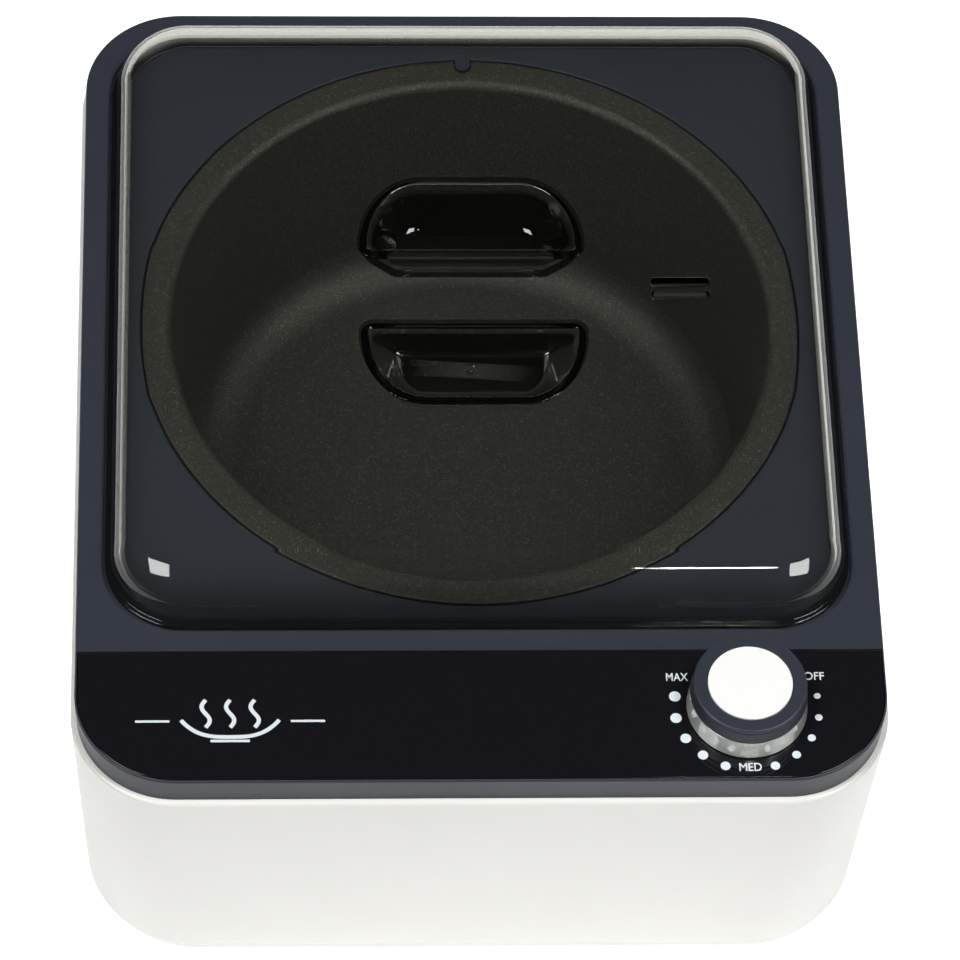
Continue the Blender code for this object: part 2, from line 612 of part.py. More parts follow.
def build_wiring():
    blade_z = DECK_TOP - 5 - GAP - 30 - GAP
    x, y = KNOB_AT
    live = [(63, 124.4, 33), (63, 122, 33), (64, 118, 25), (70, 113, 14), (93, 90, 11), (111, 44, 11)]
    live += [(114, 0, 12), (111, -52, 12), (92, -90, 11), (60, -108, 10), (36, -123, 11), (24, -126, 12)]
    live += [(19.3, -126, 12)]
    neutral = [(77, 124.4, 33), (77, 122, 33), (81, 115, 31), (93, 100, 25), (111, 70, 20), (118, 30, 18)]
    neutral += [(118, -20, 17), (115, -62, 17), (96, -96, 17), (62, -110, 16), (36, -113, 13)]
    neutral += [(24, -114, 12), (19.3, -114, 12)]
    feed = [(0.7, -126, 12), (-4, -126, 12), (-12, -132, 17), (-4, -139, 27), (30, -139, 41)]
    feed += [(60, -134, 54), (x - 7, y - 2, blade_z - 7), (x - 7, y, blade_z)]
    switched = [(x + 7, y, blade_z), (x + 7, y, blade_z - 6), (91, -114, 42), (98, -78, 17), (101, -30, 13)]
    switched += [(97, 18, 13), (89, 44, 13), (79, 51, 13), (72, 46, 13.4), (71, 38, 13.4), (71, 32.7, 13.4)]
    heater = [(71, 14, 13.4), (71, 10, 13.4), (69, -8, 13), (62, -34, 12.4), (42, -60, 12.3)]
    heater += [(22, -71, 12.3), (11, -67, 12.3), (9, -58, 12.3), (9, -52, 12.3)]
    back = [(-9, -52, 12.3), (-9, -58, 12.3), (-11, -70, 12.3), (-15, -88, 12.3), (-16, -103, 12.2)]
    back += [(-10, -112, 12), (-4, -114, 12), (0.7, -114, 12)]
    earth = [(70, 124.4, 37), (70, 121.5, 37), (69, 116, 31), (66, 108, 20), (60, 99, 14), (52, 90, 12.8)]
    earth += [(44, 81.7, 12.9)]
    routes = {
        "wire_live": (live, wire_brown),
        "wire_neutral": (neutral, wire_blue),
        "wire_thermostat_feed": (feed, wire_brown),
        "wire_switched": (switched, wire_white),
        "wire_fuse_to_element": (heater, wire_white),
        "wire_element_return": (back, wire_blue),
        "wire_earth": (earth, wire_green),
    }
    for name, (route, material) in routes.items():
        cable(name, route, WIRE_RADIUS, material)
    capillary = [(-71, 8, 13.4), (-72, -18, 13), (-62, -52, 12), (-40, -78, 14), (-4, -96, 26)]
    capillary += [(30, -101, 48), (44, -107, 74), (52, -113, 90), (58, -115, 92), (x - 17.3, -115, 92)]
    cable("capillary_tube", capillary, 0.7, copper)


build_housing()
build_base()
build_deck()
build_lid(pivot_at("lid_guide", 0.0, BATH_Y, DECK_TOP))
build_pot(pivot_at("pot_guide", 0.0, BATH_Y, DECK_TOP))
build_chamber()
build_heater()
build_thermostat()
build_knob(pivot_at("knob_axis", *KNOB_AT, DECK_TOP))
build_inlet()
build_terminal_block()
build_wiring()
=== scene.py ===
import json
import math

import bmesh
import bpy
import numpy as np
from mathutils import Matrix, Vector


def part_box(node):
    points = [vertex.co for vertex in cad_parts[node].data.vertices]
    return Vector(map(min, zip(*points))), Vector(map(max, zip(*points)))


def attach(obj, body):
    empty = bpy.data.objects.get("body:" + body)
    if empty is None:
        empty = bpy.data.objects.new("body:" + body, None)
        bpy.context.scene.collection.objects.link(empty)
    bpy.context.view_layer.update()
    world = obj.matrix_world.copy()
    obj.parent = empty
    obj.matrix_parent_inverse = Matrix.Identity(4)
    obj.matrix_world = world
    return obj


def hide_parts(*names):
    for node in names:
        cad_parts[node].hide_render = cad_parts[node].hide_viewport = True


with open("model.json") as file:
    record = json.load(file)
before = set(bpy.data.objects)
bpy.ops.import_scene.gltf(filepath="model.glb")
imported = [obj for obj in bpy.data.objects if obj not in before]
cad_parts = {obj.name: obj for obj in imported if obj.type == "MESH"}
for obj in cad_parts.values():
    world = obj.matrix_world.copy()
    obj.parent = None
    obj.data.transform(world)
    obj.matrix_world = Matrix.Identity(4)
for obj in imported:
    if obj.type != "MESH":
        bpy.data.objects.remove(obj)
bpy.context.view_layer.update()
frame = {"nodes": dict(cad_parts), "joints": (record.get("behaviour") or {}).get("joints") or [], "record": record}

mm = 0.001  # every size below is in millimetres unless it says otherwise


def cornersOf(node):
    low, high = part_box(node)
    return np.array(low) / mm, np.array(high) / mm


def placeOfJoint(name):
    return np.array(next(joint for joint in frame["joints"] if joint["name"] == name)["pos_m"]) / mm


panelLow, panelHigh = cornersOf("control_panel")
lidLow, lidHigh = cornersOf("lid")
housingLow, housingHigh = cornersOf("housing")
potLow, potHigh = cornersOf("inner_pot")
chamberLow, chamberHigh = cornersOf("heating_chamber")
inletLow, inletHigh = cornersOf("mains_inlet")
knobAt = placeOfJoint("knob_turn")
deckTop = panelHigh[2]
bathY = (chamberLow[1] + chamberHigh[1]) / 2


# ---- shapes worked out as whole arrays


# A rounded rectangle, anticlockwise from the right end of the rear right corner: four quarter circles,
# with straight runs between them that have edgeSteps spans each.
def roundedRing(halfX, halfY, corner, centre=(0.0, 0.0), arcSteps=20, edgeSteps=1):
    turn = np.radians(np.linspace(0, 90, arcSteps + 1))
    parts = []
    for quarter, (sx, sy) in enumerate(((1, 1), (-1, 1), (-1, -1), (1, -1))):
        around = turn + quarter * math.pi / 2
        x = centre[0] + sx * (halfX - corner) + corner * np.cos(around)
        y = centre[1] + sy * (halfY - corner) + corner * np.sin(around)
        parts.append(np.column_stack([x, y]))
    ring = []
    share = np.linspace(0, 1, edgeSteps + 1)[1:-1, None]
    for part, following in zip(parts, parts[1:] + parts[:1]):
        ring += [part, part[-1] + (following[0] - part[-1]) * share]
    return np.concatenate(ring)


# Each point moved along its line from the centre until it is radius away from it.
def ontoCircle(ring, centre, radius):
    out = ring - np.array(centre)
    return np.array(centre) + radius * out / np.linalg.norm(out, axis=1, keepdims=True)


def atHeight(ring, z):
    return np.column_stack([ring, np.full(len(ring), z)])


# A D: small round corners on the straight side, then quarter ellipses that reach the far side.
def gripRing(halfX, straightY, farY, small, large, steps=16):
    facing = 1 if farY > straightY else -1
    turn = np.radians(np.linspace(0, 90, steps + 1))
    tall = abs(farY - straightY) - small - 0.3
    corners = ((1, straightY, small, small), (1, farY, large, tall))
    corners += ((-1, farY, large, tall), (-1, straightY, small, small))
    parts = []
    for index, (side, y, reach, rise) in enumerate(corners):
        inward = 1 if y == straightY else -1
        around = turn + (index - 1) * math.pi / 2
        x = side * (halfX - reach) + reach * np.cos(around)
        parts.append(np.column_stack([x, y + inward * facing * rise + facing * rise * np.sin(around)]))
    return np.concatenate(parts)


# Points (out, up, radius) whose corners are turned into arcs of that radius, where the sides have room.
def softened(corners, steps=6, closed=True):
    points = []
    count = len(corners)
    for index, (out, up, radius) in enumerate(corners):
        here = np.array([out, up], float)
        ends = not closed and index in (0, count - 1)
        if radius <= 0 or ends:
            points.append(here)
            continue
        before = np.array(corners[index - 1][:2], float) - here
        after = np.array(corners[(index + 1) % count][:2], float) - here
        lengthBefore, lengthAfter = np.linalg.norm(before), np.linalg.norm(after)
        before, after = before / lengthBefore, after / lengthAfter
        half = math.acos(np.clip(before @ after, -1, 1)) / 2
        if half > math.radians(89.5):
            points.append(here)
            continue
        reach = min(radius / math.tan(half), 0.49 * lengthBefore, 0.49 * lengthAfter)
        bow = reach * math.tan(half)
        middle = here + (before + after) / np.linalg.norm(before + after) * bow / math.sin(half)
        start, end = here + before * reach - middle, here + after * reach - middle
        sweep = math.acos(np.clip(start @ end / bow**2, -1, 1))
        for step in np.linspace(0, 1, steps + 1):
            mix = (math.sin((1 - step) * sweep) * start + math.sin(step * sweep) * end) / math.sin(sweep)
            points.append(middle + mix)
    return np.array(points)


# A mesh from rings of equally many points. A tube's last ring joins its first; any other stack is capped.
def stacked(name, rings, tube=False):
    rings = np.asarray(rings, float)
    rows, columns = rings.shape[:2]
    row = np.arange(rows if tube else rows - 1)[:, None]
    column = np.arange(columns)[None, :]
    nextRow, nextColumn = (row + 1) % rows, (column + 1) % columns
    corners = [row * columns + column, row * columns + nextColumn]
    corners += [nextRow * columns + nextColumn, nextRow * columns + column]
    quads = np.stack(np.broadcast_arrays(*corners), axis=-1).reshape(-1, 4)
    caps = [] if tube else [np.arange(columns)[::-1], np.arange(columns) + (rows - 1) * columns]
    mesh = bpy.data.meshes.new(name)
    points = rings.reshape(-1, 3) * mm
    loops = np.concatenate([quads.ravel(), *caps]).astype(np.int32)
    starts = np.concatenate([np.arange(len(quads)) * 4, len(quads) * 4 + np.arange(len(caps)) * columns])
    mesh.vertices.add(len(points))
    mesh.vertices.foreach_set("co", points.ravel())
    mesh.loops.add(len(loops))
    mesh.loops.foreach_set("vertex_index", loops)
    mesh.polygons.add(len(starts))
    mesh.polygons.foreach_set("loop_start", starts.astype(np.int32))
    mesh.update(calc_edges=True)
    piece = bpy.data.objects.new(name, mesh)
    bpy.context.scene.collection.objects.link(piece)
    faceOut(mesh)
    return piece


def faceOut(mesh, weld=0.0):
    surface = bmesh.new()
    surface.from_mesh(mesh)
    if weld:
        bmesh.ops.remove_doubles(surface, verts=surface.verts, dist=weld)
    bmesh.ops.recalc_face_normals(surface, faces=surface.faces)
    surface.to_mesh(mesh)
    surface.free()


# A profile of (radius, height) points turned about the upright line at centre. An open profile is capped.
def turned(name, profile, centre, steps=128, closed=True):
    profile = np.asarray(profile, float)
    turn = np.linspace(0, math.tau, steps, endpoint=False)
    rings = np.empty((len(profile), steps, 3))
    rings[:, :, 0] = centre[0] + profile[:, :1] * np.cos(turn)
    rings[:, :, 1] = centre[1] + profile[:, :1] * np.sin(turn)
    rings[:, :, 2] = profile[:, 1:]
    return stacked(name, rings, tube=closed)


# A closed outline between two heights, its top and bottom edges softened.
def slab(name, outlineAt, bottom, top, soft, steps=5):
    profile = softened([(8, bottom, 0), (0, bottom, soft), (0, top, soft), (8, top, 0)], steps, closed=False)
    return stacked(name, [atHeight(outlineAt(inset), z) for inset, z in profile[1:-1]])


def cut(piece, tool, operation="DIFFERENCE"):
    modifier = piece.modifiers.new(tool.name, "BOOLEAN")
    modifier.operation = operation
    modifier.object = tool
    modifier.solver = "EXACT"
    bpy.context.view_layer.update()
    shaped = bpy.data.meshes.new_from_object(piece.evaluated_get(bpy.context.evaluated_depsgraph_get()))
    piece.modifiers.clear()
    piece.data = shaped
    bpy.data.objects.remove(tool)


def join(pieces, name):
    joined = bmesh.new()
    for piece in pieces:
        joined.from_mesh(piece.data)
        bpy.data.objects.remove(piece)
    mesh = bpy.data.meshes.new(name)
    joined.to_mesh(mesh)
    joined.free()
    whole = bpy.data.objects.new(name, mesh)
    bpy.context.scene.collection.objects.link(whole)
    return whole


# Smooth shading with flat faces kept flat, then the material, the body and the CAD nodes it stands for.
def settle(piece, body, material, nodes=(), sharp=32.0):
    piece.data.shade_smooth()
    piece.data.set_sharp_from_angle(angle=math.radians(sharp))
    piece.data.materials.clear()
    piece.data.materials.append(material)
    weighted = piece.modifiers.new("flat_faces_first", "WEIGHTED_NORMAL")
    weighted.keep_sharp = True
    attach(piece, body)
    if nodes:
        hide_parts(*nodes)
    return piece


# ---- materials


# A socket that Python's operators turn into Math nodes.
class Signal:
    def __init__(self, finish, socket):
        self.finish = finish
        self.socket = socket

    def maths(self, operation, *values):
        inputs = dict(enumerate(values))
        return self.finish.node("Math", {"operation": operation}, inputs)

    def __add__(self, other):
        return self.maths("ADD", self, other)

    __radd__ = __add__

    def __sub__(self, other):
        return self.maths("SUBTRACT", self, other)

    def __rsub__(self, other):
        return self.maths("SUBTRACT", other, self)

    def __mul__(self, other):
        return self.maths("MULTIPLY", self, other)

    __rmul__ = __mul__

    def __pow__(self, other):
        return self.maths("POWER", self, other)


# Makes and joins the nodes of one tree.
class Graph:
    def __init__(self, tree):
        self.tree = tree

    # Makes a node: its kind, its settings, and the values or links of its sockets.
    def node(self, kind, settings=None, inputs=None, output=0):
        made = self.tree.nodes.new("ShaderNode" + kind)
        for key, value in (settings or {}).items():
            if key == "stops":
                self.ramp(made.color_ramp, value)
            else:
                setattr(made, key, value)
        for key, value in (inputs or {}).items():
            self.feed(made.inputs[key], value)
        return Signal(self, made.outputs[output])

    def ramp(self, ramp, stops):
        while len(ramp.elements) < len(stops):
            ramp.elements.new(0.5)
        for element, (position, colour) in zip(ramp.elements, stops):
            element.position = position
            element.color = (*colour, 1.0) if len(colour) == 3 else colour

    def feed(self, socket, value):
        if isinstance(value, Signal):
            self.tree.links.new(value.socket, socket)
        else:
            socket.default_value = value

    def range(self, signal, low, high, start=0.0, end=1.0):
        inputs = {"Value": signal, "From Min": start, "From Max": end, "To Min": low, "To Max": high}
        return self.node("MapRange", {"clamp": True}, inputs)

    def blended(self, share, first, second, kind="MIX"):
        settings = {"data_type": "RGBA", "blend_type": kind, "clamp_factor": True}
        first = first if isinstance(first, Signal) else (*first, 1.0)
        second = second if isinstance(second, Signal) else (*second, 1.0)
        return self.node("Mix", settings, {0: share, 6: first, 7: second}, output=2)


# A material with a Principled shader, whose patterns read Object coordinates.
class Finish(Graph):
    def __init__(self, name, colour=(0.5, 0.5, 0.5), roughness=0.4, **constants):
        self.material = bpy.data.materials.new(name)
        self.material.use_nodes = True
        super().__init__(self.material.node_tree)
        self.tree.nodes.clear()
        self.output = self.tree.nodes.new("ShaderNodeOutputMaterial")
        self.shader = self.tree.nodes.new("ShaderNodeBsdfPrincipled")
        self.tree.links.new(self.shader.outputs[0], self.output.inputs["Surface"])
        self.place = self.node("TexCoord", output="Object")
        self.set("Base Color", (*colour, 1.0))
        self.set("Roughness", roughness)
        for key, value in constants.items():
            self.set(key.replace("_", " "), value)

    def set(self, name, value):
        self.feed(self.shader.inputs[name], value)

    def noise(self, size, detail=3.0, roughness=0.55, stretch=None, distortion=0.0):
        where = self.stretched(stretch) if stretch else self.place
        inputs = {"Vector": where, "Scale": 1 / (size * mm), "Detail": detail}
        inputs.update({"Roughness": roughness, "Distortion": distortion})
        return self.node("TexNoise", {}, inputs)

    def stretched(self, stretch):
        return self.node("Mapping", {}, {"Vector": self.place, "Scale": stretch})

    def bump(self, height, strength, distance, normal=None):
        inputs = {"Height": height, "Strength": strength, "Distance": distance * mm}
        if normal:
            inputs["Normal"] = normal
        return self.node("Bump", {}, inputs)


def shaded(colour, share):
    return tuple(channel * share for channel in colour)


# Moulded plastic: a fine spark-eroded grain, slow changes of tone, and patches rubbed a little glossier.
def mouldedPlastic(name, look):
    finish = Finish(name, look["colour"], look["roughness"], Specular_IOR_Level=look.get("gloss", 0.5))
    slow = finish.noise(look.get("cloud", 60.0), 4.0)
    fine = finish.noise(look["grain"], 2.0)
    tone = finish.range(slow, 0.0, 1.0, 0.3, 0.7)
    spread = look.get("spread", 0.04)
    colour = finish.blended(tone, shaded(look["colour"], 1 - spread), shaded(look["colour"], 1 + spread))
    speck = finish.range(fine, 0.0, look.get("speck", 0.05), 0.55, 0.8)
    finish.set("Base Color", finish.blended(speck, colour, shaded(look["colour"], 1.6)))
    rub = finish.range(finish.noise(look.get("rub", 22.0), 5.0, 0.65), -1.0, 1.0, 0.25, 0.75)
    finish.set("Roughness", look["roughness"] + look.get("rubDepth", 0.03) * rub + 0.02 * fine)
    normal = finish.bump(fine, look["bump"], look["grain"] * 0.25)
    waviness = finish.noise(look.get("wave", 30.0), 1.0)
    finish.set("Normal", finish.bump(waviness, look.get("waveDepth", 0.02), 0.4, normal))
    return finish.material


plasticLooks = {
    "off_white_plastic": {
        "colour": (0.785, 0.776, 0.742), "roughness": 0.36, "grain": 0.30, "bump": 0.12, "spread": 0.012,
    },
    "navy_grey_plastic": {
        "colour": (0.020, 0.024, 0.036), "roughness": 0.46, "grain": 0.22, "bump": 0.30, "speck": 0.10,
        "gloss": 0.4,
    },
    "black_base": {
        "colour": (0.018, 0.018, 0.019), "roughness": 0.58, "grain": 0.45, "bump": 0.45, "speck": 0.15,
    },
    "foot_rubber": {
        "colour": (0.026, 0.026, 0.027), "roughness": 0.82, "grain": 0.6, "bump": 0.5, "speck": 0.2,
    },
    "phenolic_body": {
        "colour": (0.075, 0.050, 0.034), "roughness": 0.42, "grain": 0.5, "bump": 0.2, "speck": 0.2,
    },
    "terminal_ceramic": {
        "colour": (0.74, 0.71, 0.63), "roughness": 0.55, "grain": 0.35, "bump": 0.3, "spread": 0.05,
    },
    "silicone_seal": {
        "colour": (0.42, 0.075, 0.045), "roughness": 0.55, "grain": 0.8, "bump": 0.15, "spread": 0.06,
    },
    "white_disc": {
        "colour": (0.86, 0.855, 0.84), "roughness": 0.30, "grain": 0.25, "bump": 0.05, "spread": 0.008,
    },
    "wire_brown": {"colour": (0.15, 0.055, 0.022), "roughness": 0.42, "grain": 0.35, "bump": 0.15},
    "wire_blue": {"colour": (0.020, 0.095, 0.40), "roughness": 0.42, "grain": 0.35, "bump": 0.15},
    "wire_green": {"colour": (0.10, 0.38, 0.05), "roughness": 0.42, "grain": 0.35, "bump": 0.15},
}
finishes = {name: mouldedPlastic(name, look) for name, look in plasticLooks.items()}


# Gloss black acrylic: a clear polish with the faint swirl and dust that it always gathers.
def glossBlack():
    finish = Finish("gloss_black_panel", (0.006, 0.006, 0.008), 0.05, Coat_Roughness=0.03)
    dust = finish.noise(0.35, 2.0)
    mask = finish.range(dust, 0.0, 0.05, 0.72, 0.80)
    finish.set("Base Color", finish.blended(mask, (0.0062, 0.0060, 0.0082), (0.25, 0.25, 0.27)))
    smear = finish.range(finish.noise(26.0, 5.0, 0.6, stretch=(1.0, 3.0, 1.0)), 0.03, 0.09, 0.3, 0.8)
    finish.set("Roughness", smear)
    finish.set("Normal", finish.bump(finish.noise(9.0, 1.0), 0.012, 0.5))
    return finish.material


# Non-stick coating: a dark olive base, fine pale specks in two sizes, and the sprayed coat's orange peel.
def speckledCoating():
    look = {"base": (0.010, 0.010, 0.0085), "speck": (0.20, 0.195, 0.165), "small": 0.55, "large": 1.3}
    finish = Finish("speckled_coating", look["base"], 0.42)
    cells = finish.node("TexVoronoi", {}, {"Vector": finish.place, "Scale": 1 / (look["small"] * mm)})
    small = finish.range(cells, 1.0, 0.0, 0.08, 0.42)
    chosen = finish.range(finish.noise(look["large"], 2.0), 0.0, 1.0, 0.47, 0.62)
    grit = finish.noise(0.28, 2.0, 0.7)
    speck = small * chosen * 0.75 + finish.range(grit, 0.0, 0.5, 0.52, 0.75)
    finish.set("Base Color", finish.blended(speck, look["base"], look["speck"]))
    finish.set("Roughness", 0.50 - 0.16 * speck)
    peel = finish.bump(finish.noise(1.6, 2.0), 0.20, 0.25)
    finish.set("Normal", finish.bump(grit, 0.55, 0.12, peel))
    return finish.material


# Smoked acrylic: clear and refracting, tinted by its own thickness, with faint rub marks, and darkened in places
# by painted shade that a point attribute carries. Lamps shine through it, so that what is inside is lit.
def smokedAcrylic():
    look = {"tint": (0.60, 0.61, 0.54), "perMetre": 140.0, "shadedTint": (0.02, 0.02, 0.018)}
    finish = Finish("smoked_clear", (1.0, 1.0, 1.0), 0.0, IOR=1.49, Transmission_Weight=1.0)
    smoke = finish.node("Attribute", {"attribute_name": "smoke"}, output="Fac")
    # painted shade: the point attribute read here darkens the base colour towards the near-black tint
    finish.set("Base Color", finish.blended(smoke, (1.0, 1.0, 1.0), look["shadedTint"]))
    rub = finish.range(finish.noise(14.0, 6.0, 0.7, stretch=(1.0, 2.5, 1.0)), 0.0, 0.05, 0.52, 0.85)
    finish.set("Roughness", rub)
    finish.set("Normal", finish.bump(finish.noise(34.0, 1.0), 0.010, 0.6))
    lamp = finish.node("BsdfTransparent", {}, {"Color": (0.82, 0.82, 0.80, 1.0)})
    shadowRay = finish.node("LightPath", output="Is Shadow Ray")
    glass = Signal(finish, finish.shader.outputs[0])
    mixed = finish.node("MixShader", {}, {0: shadowRay, 1: glass, 2: lamp})
    finish.feed(finish.output.inputs["Surface"], mixed)
    absorbed = {"Color": (*look["tint"], 1.0), "Density": look["perMetre"]}
    finish.feed(finish.output.inputs["Volume"], finish.node("VolumeAbsorption", {}, absorbed))
    return finish.material


# Metal with a drawn, spun or plated surface: fine streaks along one way, and patches of duller metal.
def workedMetal(name, look):
    finish = Finish(name, look["colour"], look["roughness"], Metallic=look.get("metal", 1.0))
    if look.get("spun"):
        centred = finish.node("Mapping", {}, {"Vector": finish.place, "Location": (0.0, -bathY * mm, 0.0)})
        flat = finish.node("VectorMath", {"operation": "MULTIPLY"}, {0: centred, 1: (1.0, 1.0, 0.0)})
        reach = finish.node("VectorMath", {"operation": "LENGTH"}, {0: flat}, output="Value")
        height = finish.node("SeparateXYZ", {}, {0: finish.place}, output="Z")
        line = finish.node("CombineXYZ", {}, {"X": reach, "Y": height * 0.7, "Z": 0.0})
        inputs = {"Vector": line, "Scale": 1 / (look["streak"] * mm), "Detail": 4.0}
        streak = finish.node("TexNoise", {}, inputs)
    else:
        streak = finish.noise(look["streak"], 4.0, 0.6, stretch=look.get("stretch", (1.0, 1.0, 0.15)))
    patch = finish.noise(look.get("patch", 9.0), 4.0)
    tone = finish.range(streak * 0.6 + patch * 0.4, 0.0, 1.0, 0.35, 0.65)
    dark, light = shaded(look["colour"], 0.86), shaded(look["colour"], 1.06)
    finish.set("Base Color", finish.blended(tone, dark, light))
    finish.set("Roughness", look["roughness"] + 0.14 * (streak - 0.5) + 0.08 * (patch - 0.5))
    finish.set("Normal", finish.bump(streak, look.get("bump", 0.18), 0.05))
    return finish.material


metalLooks = {
    "spun_aluminium": {"colour": (0.74, 0.74, 0.75), "roughness": 0.30, "streak": 0.6, "spun": True},
    "zinc_steel": {"colour": (0.62, 0.62, 0.60), "roughness": 0.34, "streak": 0.7},
    "brass_contact": {"colour": (0.78, 0.60, 0.28), "roughness": 0.28, "streak": 0.5},
    "copper_capillary": {"colour": (0.74, 0.37, 0.23), "roughness": 0.30, "streak": 0.5},
    "element_sheath": {"colour": (0.27, 0.25, 0.23), "roughness": 0.46, "streak": 0.9},
    "polished_skirt": {
        "colour": (0.72, 0.745, 0.70), "roughness": 0.14, "streak": 0.5, "stretch": (1.0, 1.0, 0.02),
        "metal": 0.35, "bump": 0.03,
    },
}
finishes.update({name: workedMetal(name, look) for name, look in metalLooks.items()})


# Felt and glass braid: short crossed fibres.
def fibrous(name, colour, size):
    finish = Finish(name, colour, 0.92)
    across = finish.noise(size, 5.0, 0.7, stretch=(0.25, 1.0, 1.0), distortion=1.5)
    along = finish.noise(size, 5.0, 0.7, stretch=(1.0, 0.3, 0.6), distortion=1.2)
    fibre = across * 0.5 + along * 0.5
    tone = finish.range(fibre, 0.0, 1.0, 0.35, 0.65)
    finish.set("Base Color", finish.blended(tone, shaded(colour, 0.72), shaded(colour, 1.08)))
    finish.set("Normal", finish.bump(fibre, 0.8, size * 0.5))
    return finish.material


# Printing ink: an opaque, slightly uneven silk-screen coat.
def printedInk():
    finish = Finish("printed_ink", (0.66, 0.72, 0.76), 0.5)
    weave = finish.noise(0.25, 2.0)
    finish.set("Base Color", finish.blended(weave, (0.60, 0.67, 0.72), (0.74, 0.79, 0.82)))
    finish.set("Roughness", finish.range(weave, 0.42, 0.58))
    finish.set("Normal", finish.bump(weave, 0.15, 0.03))
    return finish.material


finishes["gloss_black_panel"] = glossBlack()
finishes["speckled_coating"] = speckledCoating()
finishes["smoked_clear"] = smokedAcrylic()
finishes["glass_fibre_felt"] = fibrous("glass_fibre_felt", (0.78, 0.74, 0.62), 1.2)
finishes["wire_white"] = fibrous("wire_white", (0.74, 0.73, 0.68), 0.5)
ink = printedInk()
print("materials:", len(finishes) + 1)


# ---- housing and deck

shellSizes = {"draft": 0.0312, "wall": 2.6, "rimSoft": 1.3, "footSoft": 1.4, "cornerOpening": 0.0312}


# The housing's outline a given way in from its skin, at a height: it leans in and its corners open out
# towards the bottom.
def housingRing(inset, z):
    drop = housingHigh[2] - z
    corner = deckSizes["corner"] + 1.6 + shellSizes["cornerOpening"] * drop - inset
    lean = shellSizes["draft"] * drop + inset
    return atHeight(roundedRing(housingHigh[0] - lean, housingHigh[1] - lean, corner, arcSteps=28), z)


deckSizes = {
    "halfX": 125.0,
    "halfY": 148.7,
    "corner": 31.3,
    "band": 11.0,
    "edgeSoft": 0.9,
    "skirt": 2.5,
    "recessHalf": 117.0,
    "recessLonger": 0.3,
    "recessCorner": 25.1,
    "recessDepth": 2.5,
    "recessSoft": 1.6,
    "seat": 107.4,
    "seatDepth": 4.8,
    "opening": 99.2,
    "ledge": 2.5,
    "ledgeRadius": 110.0,
    "flatHalf": 31.65,
    "flatArc": 145.0,
    "flatCut": 0.8,
    "postX": 108.0,
    "postY": 128.0,
    "shaftHole": 4.6,
}


def makeHousing():
    sizes = shellSizes
    low, high = housingLow[2], housingHigh[2]
    corners = [(0, low, sizes["footSoft"]), (0, high, sizes["rimSoft"])]
    corners += [(sizes["wall"], high, 0.5), (sizes["wall"], low, 0.4)]
    rings = [housingRing(inset, z) for inset, z in softened(corners, 7)]
    housing = stacked("housing_shell", rings, tube=True)
    middle = (inletLow + inletHigh) / 2
    hole = roundedRing(14.5, 10.8, 1.0, (middle[0], middle[2]), 6)
    rings = [np.column_stack([hole[:, 0], np.full(len(hole), y), hole[:, 1]]) for y in (140.0, 160.0)]
    cut(housing, stacked("inlet_hole", rings))
    settle(housing, "base", finishes["off_white_plastic"], ["housing"])


# Rings of the deck: the outer outline, the lid recess's outline, or a circle about the bath's centre.
def outerRing(inset, z):
    halves = deckSizes["halfX"] - inset, deckSizes["halfY"] - inset
    return atHeight(roundedRing(*halves, deckSizes["corner"] - inset, (0, 0), 24, 60), z)


def recessOutline(out=0.0):
    half = deckSizes["recessHalf"] + out
    corner = deckSizes["recessCorner"] + out
    return roundedRing(half, half + deckSizes["recessLonger"], corner, (0, bathY), 24, 60)


def recessRing(out, z):
    return atHeight(recessOutline(out), z)


# The flange's flattened sides: within a short way of the centre line the outline follows a wider arc.
def potOutline(ring, radius):
    circle = ontoCircle(ring, (0, bathY), radius)
    across = circle[:, 1] - bathY
    arc = deckSizes["flatArc"]
    side = radius - deckSizes["flatCut"] - arc + np.sqrt(arc**2 - across**2)
    flat = np.abs(across) < deckSizes["flatHalf"]
    circle[:, 0] = np.where(flat, np.sign(circle[:, 0]) * side, circle[:, 0])
    return circle


def seatRing(radius, z, flats=False):
    ring = recessOutline()
    outline = potOutline(ring, radius) if flats else ontoCircle(ring, (0, bathY), radius)
    return atHeight(outline, z)


